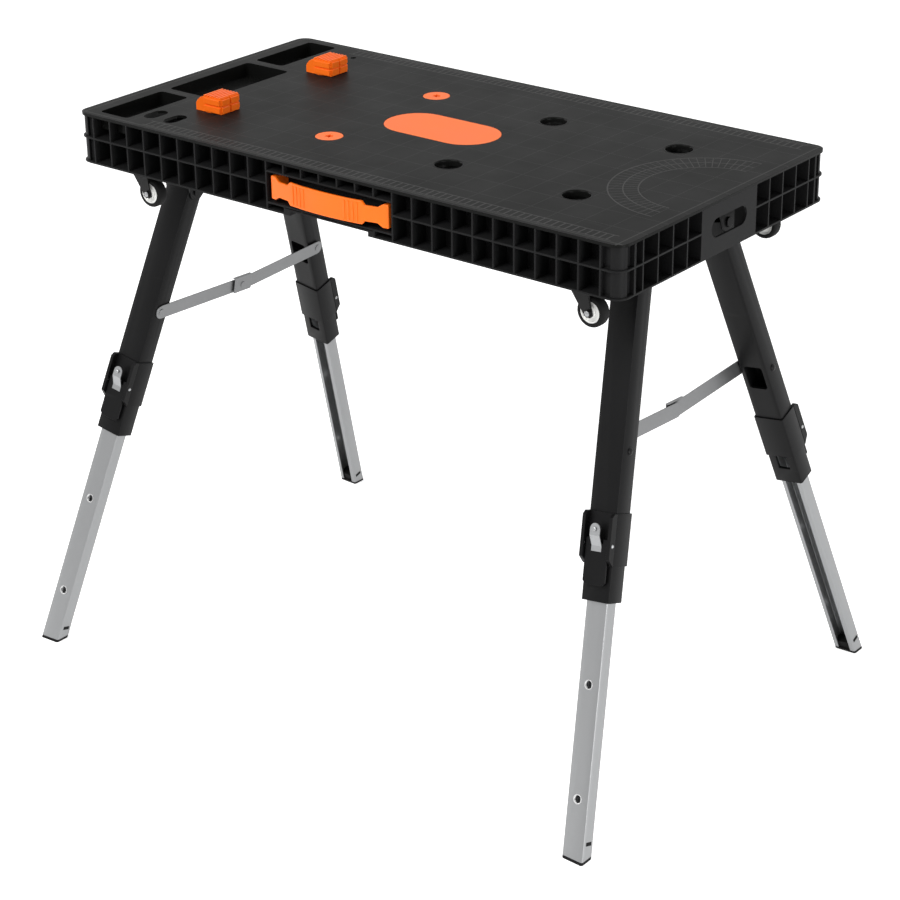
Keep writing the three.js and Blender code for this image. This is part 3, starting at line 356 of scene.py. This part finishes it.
spoke_gap = ruled("MULTIPLY", ruled("PINGPONG", arc_turn, spoke_step / 2), arc_r)
in_spokes = ruled("COMPARE", arc_r, spoke_mid_r, spoke_reach)
spokes = ruled("MULTIPLY", ruled("LESS_THAN", spoke_gap, spoke_half), in_spokes)
arcs = ruled("MULTIPLY", ruled("MAXIMUM", rings, spokes), ruled("LESS_THAN", arc_x, 0.0))
border_at_x = 0.4405
border_at_y = 0.2265
border_half = 0.0008
border_strength = 0.8
border_x = ruled("COMPARE", ruled("ABSOLUTE", deck_x), border_at_x, border_half)
border_y = ruled("COMPARE", away, border_at_y, border_half)
border = ruled("MULTIPLY", ruled("MAXIMUM", border_x, border_y), border_strength)
rulings = ruled("MAXIMUM", grid, ruled("MAXIMUM", in_rule, arcs))
rulings = ruled("MAXIMUM", rulings, border)
on_top = ruled("GREATER_THAN", deck_spot.outputs["Z"], deck_top - 0.0005)
rulings = ruled("MULTIPLY", rulings, on_top)
deck_shader = deck_tree.nodes["Principled BSDF"]
deck_rough = deck_shader.inputs["Roughness"].links[0].from_socket
polished = ruled("MULTIPLY_ADD", on_top, 0.5, 0.5)
deck_tree.links.new(ruled("MULTIPLY", deck_rough, polished), deck_shader.inputs["Roughness"])
deck_colour = deck_shader.inputs["Base Color"].links[0].from_socket
deck_ink = blend(deck_tree, ruled("MULTIPLY", rulings, 0.8), deck_colour, ink_grey)
deck_tree.links.new(deck_ink, deck_shader.inputs["Base Color"])
deck_grain = deck_shader.inputs["Normal"].links[0].from_socket
deck_relief = deck_tree.nodes.new("ShaderNodeBump")
deck_relief.inputs["Strength"].default_value = 0.5
deck_relief.inputs["Distance"].default_value = 0.0006
deck_tree.links.new(rulings, deck_relief.inputs["Height"])
deck_tree.links.new(deck_grain, deck_relief.inputs["Normal"])
deck_tree.links.new(deck_relief.outputs["Normal"], deck_shader.inputs["Normal"])
softened("top_deck", deck_finish, width=0.0012, segments=3)


# The rails: four ribbed mouldings of the same black plastic under the deck's edge.
# Their pockets are open outwards, so the rib edges catch the light.
# The rails' colour is about twice the deck's, though they are the same plastic: painted fill light that lifts
# the shade in their pockets.
rail_lightened_finish = grained("rail_plastic_painted_fill", (0.012, 0.012, 0.0123), 0.42, scuffs=0.2, sheen=0.05)
for rail in ("front_rail", "back_rail", "left_end_rail", "right_end_rail"):
    softened(rail, rail_lightened_finish, width=0.0008)


# The corner panels: the curved walls between the flanges at the four corners of the rails,
# set back a little from the flanges' edges. They are one moulding with the rails.
rail_low, rail_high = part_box("front_rail")
corner_r = 0.017
panel_out = 0.0142
panel_in = 0.0115
panel_foot = 0.001
panel_head = rail_high.z - rail_low.z
panel_line = [(panel_in, panel_foot), (panel_out, panel_foot), (panel_out, panel_head), (panel_in, panel_head)]
for end_x in (-1, 1):
    for side in (-1, 1):
        corner = Vector((end_x * (deck_high.x - corner_r), side * (deck_high.y - corner_r), rail_low.z))
        panel = bmesh.new()
        strip = [panel.verts.new(corner + Vector((end_x * radius, 0, height))) for radius, height in panel_line]
        start = panel.faces.new(strip)
        sweep = end_x * side * math.pi / 2
        bmesh.ops.spin(panel, geom=[start], cent=corner, axis=(0, 0, 1), angle=sweep, steps=12)
        bmesh.ops.holes_fill(panel, edges=panel.edges, sides=4)
        bmesh.ops.recalc_face_normals(panel, faces=panel.faces)
        row = "back" if side > 0 else "front"
        end = "right" if end_x > 0 else "left"
        panel_name = "corner_panel_%s_%s" % (row, end)
        panel_mesh = bpy.data.meshes.new(panel_name)
        panel.to_mesh(panel_mesh)
        panel.free()
        panel_mesh.materials.append(rail_lightened_finish)
        panel_mesh.shade_smooth()
        panel_piece = linked(panel_name, panel_mesh)
        panel_piece.modifiers.new("crisp_corners", "EDGE_SPLIT").split_angle = math.radians(40)
        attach(panel_piece, "bench_top")


# The dog hole rims: the rounded mouth that the mould leaves round each open dog hole.
# They are one moulding with the deck.
def turned(name, profile, centre, axis, finish, steps=48):
    """A closed profile of radius and height, spun about an axis through a centre."""
    along = Vector(axis).normalized()
    aside = along.orthogonal().normalized()
    shape = bmesh.new()
    ring = [shape.verts.new(centre + aside * radius + along * height) for radius, height in profile]
    edges = [shape.edges.new((ring[i - 1], ring[i])) for i in range(len(ring))]
    bmesh.ops.spin(
        shape, geom=ring + edges, cent=centre, axis=along, angle=2 * math.pi, steps=steps, use_merge=True
    )
    bmesh.ops.remove_doubles(shape, verts=shape.verts, dist=0.000005)
    bmesh.ops.recalc_face_normals(shape, faces=shape.faces)
    mesh = bpy.data.meshes.new(name)
    shape.to_mesh(mesh)
    shape.free()
    mesh.materials.append(finish)
    mesh.shade_smooth()
    piece = linked(name, mesh)
    piece.modifiers.new("crisp_turns", "EDGE_SPLIT").split_angle = math.radians(40)
    return piece


dog_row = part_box("hole_plug_back")
dog_hole_r = (dog_row[1].x - dog_row[0].x) / 2 + 0.0003
dog_row_y = (dog_row[0].y + dog_row[1].y) / 2
for hole_x in (0.100, 0.300):
    for side in (-1, 1):
        mouth = Vector((hole_x, side * dog_row_y, deck_top))
        row = "back" if side > 0 else "front"
        rim_name = "dog_hole_rim_%s_%s" % (row, "inner" if hole_x < 0.2 else "outer")
        rim_profile = [
            (dog_hole_r - 0.0012, -0.0080),
            (dog_hole_r - 0.0012, -0.0012),
            (dog_hole_r - 0.0008, -0.0003),
            (dog_hole_r + 0.0002, 0.0002),
            (dog_hole_r + 0.0012, 0.0002),
            (dog_hole_r + 0.0012, -0.0002),
            (dog_hole_r - 0.0004, -0.0010),
            (dog_hole_r - 0.0004, -0.0080),
        ]
        rim = turned(rim_name, rim_profile, mouth, (0, 0, 1), deck_finish)
        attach(rim, "bench_top")


# The insert and the plugs: soft orange caps pressed into the deck, flush with it.
# They are a paler plastic than the dogs.
pale_finish = grained("pale_orange_plastic", (1.0, 0.165, 0.028), 0.5, scuffs=0.0, sheen=0.3)
for cap in ("oval_insert", "hole_plug_front", "hole_plug_back"):
    softened(cap, pale_finish, width=0.0005)


# The bench dogs: bright orange blocks, ridged on top, on pegs that stand in the dog holes.
# Each lifts straight out.
dog_finish = grained("orange_plastic", (1.0, 0.15, 0.004), 0.42, scuffs=0.0, sheen=0.3)
for dog in ("bench_dog_front", "bench_dog_back"):
    softened(dog, dog_finish, width=0.0009, segments=3)


# The dogs' grips: moulded ridges across the top and raised pads on the sides, which bite
# on the work. They are one moulding with the dog.
def joined_boxes(name, boxes, finish, edge=0.0003):
    """Small blocks, each a middle and a size, with their edges broken."""
    shape = bmesh.new()
    for middle, size in boxes:
        made = bmesh.ops.create_cube(shape, size=1.0)["verts"]
        bmesh.ops.scale(shape, vec=Vector(size), verts=made)
        bmesh.ops.translate(shape, vec=Vector(middle), verts=made)
    bmesh.ops.bevel(
        shape, geom=shape.edges[:], offset=edge, affect="EDGES", segments=2, profile=0.5, material=-1
    )
    mesh = bpy.data.meshes.new(name)
    shape.to_mesh(mesh)
    shape.free()
    mesh.materials.append(finish)
    return linked(name, mesh)


ridge_count = 6
grip_proud = 0.0016
grip_gap = 0.0024
ridge_gap = 0.0024
ridge_short = 0.001
for row in ("front", "back"):
    dog_low, dog_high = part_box("bench_dog_" + row)
    dog_mid = (dog_low + dog_high) / 2
    dog_size = dog_high - dog_low
    head_h = dog_high.z - deck_top
    ridge_step = dog_size.x * 0.7 / ridge_count
    grips = []
    for step in range(ridge_count):
        ridge_x = dog_high.x - ridge_step * (step + 0.5)
        ridge_size = (ridge_step - ridge_gap, dog_size.y - ridge_short, 2 * grip_proud)
        grips.append(((ridge_x, dog_mid.y, dog_high.z), ridge_size))
    pad_w = (dog_size.y - 3 * grip_gap) / 2
    pad_h = (head_h - 2.5 * grip_gap) / 2
    for level in (-1, 1):
        pad_z = deck_top + head_h / 2 + level * (pad_h + grip_gap) / 2
        for side in (-1, 1):
            pad_y = dog_mid.y + side * (pad_w + grip_gap) / 2
            grips.append(((dog_high.x, pad_y, pad_z), (2 * grip_proud, pad_w, pad_h)))
            long_x = dog_high.x - dog_size.x * 0.33
            flank_y = dog_high.y if side > 0 else dog_low.y
            grips.append(((long_x, flank_y, pad_z), (dog_size.x * 0.62, 2 * grip_proud, pad_h)))
    grip_piece = joined_boxes("dog_grips_" + row, grips, dog_finish, edge=0.0005)
    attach(grip_piece, "dog_" + row)


# The carry handle: a bowed orange strap moulding, fixed at both ends of the front recess.
# Four upright ribs near each end of the grip keep the hand from slipping.
handle = softened("carry_handle", dog_finish, width=0.0012, segments=3)
handle_low, handle_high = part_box("carry_handle")
bow_depth = 0.012
bow_half = (handle_high.x - handle_low.x) / 2
bow_radius = (bow_half**2 + bow_depth**2) / (2 * bow_depth)
handle_mid_z = (handle_low.z + handle_high.z) / 2
grip_ribs = []
rib_first = 0.034
rib_pitch = 0.0065
rib_size = (0.0026, 0.0016, 0.0255)
for side in (-1, 1):
    for step in range(4):
        rib_x = side * (rib_first + step * rib_pitch)
        face_y = handle_low.y + bow_radius - math.sqrt(bow_radius**2 - rib_x**2)
        grip_ribs.append(((rib_x, face_y, handle_mid_z), rib_size))
ribs = joined_boxes("handle_grip_ribs", grip_ribs, dog_finish)
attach(ribs, "bench_top")


# The leg hardware: powder-coated steel brackets, yokes, tubes and latch brackets.
# Black pivot bolts, black rivets and zinc plated stays join them.
coat_black = (0.0055, 0.0055, 0.0058)
steel_grey = (0.3, 0.305, 0.31)
zinc_grey = (0.2, 0.203, 0.206)
paint_finish = grained("black_powder_coat", coat_black, 0.34, grain=1600.0, bump=0.00003, scuffs=0.2, sheen=0.1)
steel_finish = grained("satin_steel", steel_grey, 0.34, grain=1500.0, bump=0.00002, metal=0.9)
strap_finish = grained("zinc_plated_strap", zinc_grey, 0.42, grain=1500.0, bump=0.00002, metal=0.9)
joints = {joint["name"]: joint for joint in frame["joints"]}
legs = [row + "_" + end for row in ("front", "back") for end in ("left", "right")]
leg_half = 0.021
rivet_r = 0.005
dome = [(0.0002, 0.0), (rivet_r, 0.0), (rivet_r, 0.0006), (0.0042, 0.0015), (0.0026, 0.0022), (0.0002, 0.0024)]
for end in ("left", "right"):
    softened("hinge_bracket_" + end, paint_finish, width=0.0005)
    for part in ("stay_strap_front_", "stay_strap_back_", "stay_sleeve_"):
        softened(part + end, strap_finish, width=0.0003)
for leg in legs:
    softened("upper_leg_" + leg, paint_finish, width=0.0006)
    softened("latch_bracket_" + leg, paint_finish, width=0.0005)
    softened("leg_yoke_" + leg, paint_finish, width=0.0005)
    softened("leg_pivot_bolt_" + leg, paint_finish, width=0.0005)
    row, end = leg.split("_")
    stay_rivet = joints["stay_rivet_" + end]
    outwards = Vector(stay_rivet["axis"]) * (1 if end == "right" else -1)
    rivet_spot = Vector(stay_rivet["pos_m"])
    if row == "back":
        rivet_spot.y = -rivet_spot.y
    rivet_seat = rivet_spot + outwards * leg_half
    rivet = turned("stay_rivet_head_" + leg, dome, rivet_seat, outwards, paint_finish, 24)
    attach(rivet, "leg_" + leg)


# The lower legs: drawn aluminium channels with fine lengthwise streaks, which slide in the tubes.
# Each stands on a black rubber foot pad pushed into its end.
alu_grey = (0.27, 0.274, 0.278)
rubber_finish = grained("black_rubber", (0.006, 0.006, 0.006), 0.7, grain=700.0, scuffs=0.2, sheen=0.12)
for leg in legs:
    leg_line = joints["leg_height_" + leg]["axis"]
    alu_finish = grained(
        "drawn_aluminium_" + leg, alu_grey, 0.36,
        grain=1400.0, bump=0.00002, metal=0.85, scuffs=0.1, drawn=leg_line,
    )
    softened("lower_leg_" + leg, alu_finish, width=0.0004)
    softened("foot_pad_" + leg, rubber_finish, width=0.0004)


# The latches: a black pressed lever on a cross pin, with a bright thumb tab at its head.
# Pressing the tab swings the foot of the lever out and draws its lock pin from the lower leg.
lever_half = 0.0168
lever_up = 0.007
lever_down = 0.051
lever_thick = 0.003
tab_half = 0.0075
tab_top = 0.0265
tab_rise = 0.0065
tab_foot = -0.009
tab_shoulder = 0.006
notch_gap = 0.0015
notch_deep = 0.006
lever_chamfer = 0.004
lower_face = 0.0105
lock_below_pin = 0.032
lock_pin_r = 0.0046
lock_pin_short = 0.0004


def set_in_leg(leg):
    """The leg's own axes at its latch pin: across the lever, out of the leg, and up the leg."""
    across = Vector(joints["latch_press_" + leg]["axis"])
    up = Vector(joints["leg_height_" + leg]["axis"])
    out = up.cross(across)
    turn = Matrix((across, out, up)).transposed().to_4x4()
    return Matrix.Translation(Vector(joints["latch_press_" + leg]["pos_m"])) @ turn


def pressed(name, outline, thick, finish, place, edge=0.0004):
    """A flat outline of across and up, given a thickness outwards and broken edges."""
    shape = bmesh.new()
    rim = [shape.verts.new((a, -thick / 2, u)) for a, u in outline]
    face = shape.faces.new(rim)
    wall = bmesh.ops.extrude_face_region(shape, geom=[face])
    moved = [item for item in wall["geom"] if isinstance(item, bmesh.types.BMVert)]
    bmesh.ops.translate(shape, vec=(0, thick, 0), verts=moved)
    bmesh.ops.recalc_face_normals(shape, faces=shape.faces)
    bmesh.ops.bevel(
        shape, geom=shape.edges[:], offset=edge, affect="EDGES", segments=2, profile=0.5, material=-1
    )
    mesh = bpy.data.meshes.new(name)
    shape.to_mesh(mesh)
    shape.free()
    mesh.transform(place)
    mesh.materials.append(finish)
    return linked(name, mesh)


for leg in legs:
    place = set_in_leg(leg)
    body = "latch_" + leg
    notch = tab_half + notch_gap
    plate_outline = [
        (-lever_half, -lever_down + lever_chamfer),
        (-lever_half + lever_chamfer, -lever_down),
        (lever_half - lever_chamfer, -lever_down),
        (lever_half, -lever_down + lever_chamfer),
        (lever_half, lever_up),
        (notch, lever_up),
        (notch, lever_up - notch_deep),
        (-notch, lever_up - notch_deep),
        (-notch, lever_up),
        (-lever_half, lever_up),
    ]
    lever = pressed("latch_plate_" + leg, plate_outline, lever_thick, paint_finish, place)
    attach(lever, body)
    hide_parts("latch_lever_" + leg)
    tab = bmesh.new()
    arc = [math.pi * step / 10 for step in range(11)]
    tab_line = [(tab_half * math.cos(a), tab_top - tab_half + tab_half * math.sin(a)) for a in arc]
    tab_line = [(tab_half, tab_foot), (tab_half, tab_shoulder)] + tab_line
    tab_line += [(-tab_half, tab_shoulder), (-tab_half, tab_foot)]
    rim = [tab.verts.new((a, 0.0, u)) for a, u in tab_line]
    tab.faces.new(rim)
    for level in (-0.002, 0.004, 0.011):
        whole_tab = tab.verts[:] + tab.edges[:] + tab.faces[:]
        bmesh.ops.bisect_plane(tab, geom=whole_tab, plane_co=(0, 0, level), plane_no=(0, 0, 1))
    for vert in tab.verts:
        lift = min(1.0, max(0.0, (vert.co.z + 0.002) / 0.013))
        vert.co.y = lever_thick / 2 + 0.0004 + tab_rise * lift
    bmesh.ops.solidify(tab, geom=tab.faces[:], thickness=-0.0018)
    bmesh.ops.recalc_face_normals(tab, faces=tab.faces)
    tab_mesh = bpy.data.meshes.new("latch_tab_" + leg)
    tab.to_mesh(tab_mesh)
    tab.free()
    tab_mesh.transform(place)
    tab_mesh.materials.append(steel_finish)
    tab_piece = linked("latch_tab_" + leg, tab_mesh)
    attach(tab_piece, body)
    out = place.col[1].to_3d()
    pin_stand = (place.translation - Vector(joints["leg_swing_" + leg]["pos_m"])).dot(out)
    pin_reach = pin_stand - lower_face - lock_pin_short
    pin_line = [
        (0.0001, -pin_reach),
        (lock_pin_r - 0.0006, -pin_reach),
        (lock_pin_r, 0.0006 - pin_reach),
        (lock_pin_r, -0.001),
        (0.0001, -0.001),
    ]
    pin_foot = place @ Vector((0, 0, -lock_below_pin))
    lock_pin = turned("lock_pin_" + leg, pin_line, pin_foot, out, steel_finish, 24)
    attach(lock_pin, body)
    pins = bmesh.new()
    for side in (-1, 1):
        head = bmesh.ops.create_uvsphere(pins, u_segments=16, v_segments=8, radius=0.0028)["verts"]
        bmesh.ops.translate(pins, vec=(side * 0.0215, 0, 0), verts=head)
    dimple = bmesh.ops.create_uvsphere(pins, u_segments=16, v_segments=8, radius=0.0026)["verts"]
    bmesh.ops.scale(pins, vec=(1, 0.4, 1), verts=dimple)
    dimple_spot = (0, lever_thick / 2 + tab_rise + 0.0019, tab_top - tab_half)
    bmesh.ops.translate(pins, vec=dimple_spot, verts=dimple)
    pin_mesh = bpy.data.meshes.new("latch_pin_" + leg)
    pins.to_mesh(pin_mesh)
    pins.free()
    pin_mesh.transform(place)
    pin_mesh.shade_smooth()
    pin_mesh.materials.append(steel_finish)
    pin_piece = linked("latch_pin_" + leg, pin_mesh)
    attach(pin_piece, body)


# The lock hole rings: bright metal rings in the lower legs' lock holes, almost flush, so that the leg still
# slides into its tube.
# Their brightness is a painted highlight, standing in for the light caught on the wall of each hole.
# The rings' bright polished finish is painted highlight for the lit hole walls.
hole_highlight_finish = grained("hole_wall_painted_highlight", (0.62, 0.62, 0.62), 0.24, metal=0.9, scuffs=0.1)
highlight_ring_profile = [
    (0.0050, -0.0019),
    (0.0050, -0.0001),
    (0.0053, 0.0002),
    (0.0063, 0.0002),
    (0.0063, -0.0003),
    (0.0053, -0.0004),
    (0.0053, -0.0019),
]
lock_step = 0.145
for leg in legs:
    latch_place = set_in_leg(leg)
    out = latch_place.col[1].to_3d()
    up = latch_place.col[2].to_3d()
    leg_pivot = Vector(joints["leg_swing_" + leg]["pos_m"])
    pin_height = (latch_place.translation - leg_pivot).dot(up)
    for step in (1, 2):
        eye_spot = leg_pivot + up * (pin_height - lock_below_pin - step * lock_step) + out * lower_face
        highlight_ring_name = "lock_eyelet_%s_%d" % (leg, step)
        highlight_ring = turned(highlight_ring_name, highlight_ring_profile, eye_spot, out, hole_highlight_finish, 32)
        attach(highlight_ring, "foot_" + leg)


# The foot catches: black tongues of the foot pads that snap out through slots near the
# leg's end, one on each flat side, and hold the pad in the channel.
catch_wide = 0.0055
catch_tall = 0.0024
catch_thick = 0.0008
tongue = [
    (-catch_wide, -catch_tall),
    (catch_wide, -catch_tall),
    (catch_wide, catch_tall),
    (-catch_wide, catch_tall),
]
catch_height = 0.020
lower_half = 0.016
for leg in legs:
    latch_place = set_in_leg(leg)
    across = latch_place.col[0].to_3d()
    up = latch_place.col[2].to_3d()
    leg_pivot = Vector(joints["leg_swing_" + leg]["pos_m"])
    heel = leg_pivot - up * ((leg_pivot.z - catch_height) / up.z)
    for side in (-1, 1):
        outwards = across * side
        sideways = up.cross(outwards)
        turn = Matrix((sideways, outwards, up)).transposed().to_4x4()
        catch_place = Matrix.Translation(heel + outwards * lower_half) @ turn
        catch_name = "foot_catch_%s_%s" % (leg, "a" if side < 0 else "b")
        catch = pressed(catch_name, tongue, catch_thick, rubber_finish, catch_place, edge=0.0002)
        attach(catch, "foot_" + leg)


# The castors: black coated steel forks on swivel stems pressed into the rails' blocks.
# Each carries a white plastic hub and a black tyre on a bright axle bolt.
fork_finish = grained("black_coated_steel", (0.008, 0.008, 0.008), 0.35, scuffs=0.3, sheen=0.15)
white_finish = grained("white_plastic", (0.78, 0.78, 0.76), 0.4, scuffs=0.2)
hub_r = 0.014
tread_r = 0.0035
tread_in = 0.0045
bolt_sink = 0.0018
bolt_cap = [(0.0001, 0.0), (0.0042, 0.0), (0.0042, 0.0012), (0.0030, 0.0022), (0.0001, 0.0025)]
for leg in legs:
    softened("castor_fork_" + leg, fork_finish, width=0.0005)
    tyre_low, tyre_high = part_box("castor_tyre_" + leg)
    axle = (tyre_low + tyre_high) / 2
    wheel_r = (tyre_high.z - tyre_low.z) / 2
    wheel_half = (tyre_high.y - tyre_low.y) / 2
    hub_half = [
        (0.0033, 0.0),
        (0.0033, wheel_half),
        (0.0068, wheel_half),
        (0.0072, wheel_half - 0.0004),
        (0.0074, wheel_half - 0.0024),
        (0.0118, wheel_half - 0.0028),
        (0.0126, wheel_half - 0.0012),
        (hub_r, wheel_half - 0.0008),
    ]
    hub_profile = hub_half + [(radius, -width) for radius, width in reversed(hub_half)]
    fork_low, fork_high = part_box("castor_fork_" + leg)
    for side in (-1, 1):
        fork_face = fork_high.y if side > 0 else fork_low.y
        bolt_spot = Vector((axle.x, fork_face, axle.z)) - Vector((0, side * bolt_sink, 0))
        bolt_name = "castor_bolt_%s_%s" % (leg, "b" if side > 0 else "f")
        bolt = turned(bolt_name, bolt_cap, bolt_spot, (0, side, 0), steel_finish, 24)
        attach(bolt, "castor_" + leg)
    hub = turned("wheel_hub_" + leg, hub_profile, axle, (0, 1, 0), white_finish)
    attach(hub, "wheel_" + leg)
    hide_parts("castor_hub_" + leg)
    tread = [(hub_r + 0.00015, wheel_half - 0.0002), (wheel_r - tread_r, wheel_half)]
    for bend in (0.5, 0.9, 1.25, 1.57):
        tread_width = wheel_half - tread_in + tread_in * math.cos(bend)
        tread.append((wheel_r - tread_r + tread_r * math.sin(bend), tread_width))
    tyre_profile = tread + [(radius, -width) for radius, width in reversed(tread)]
    tyre = turned("wheel_tyre_" + leg, tyre_profile, axle, (0, 1, 0), rubber_finish)
    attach(tyre, "wheel_" + leg)
    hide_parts("castor_tyre_" + leg)
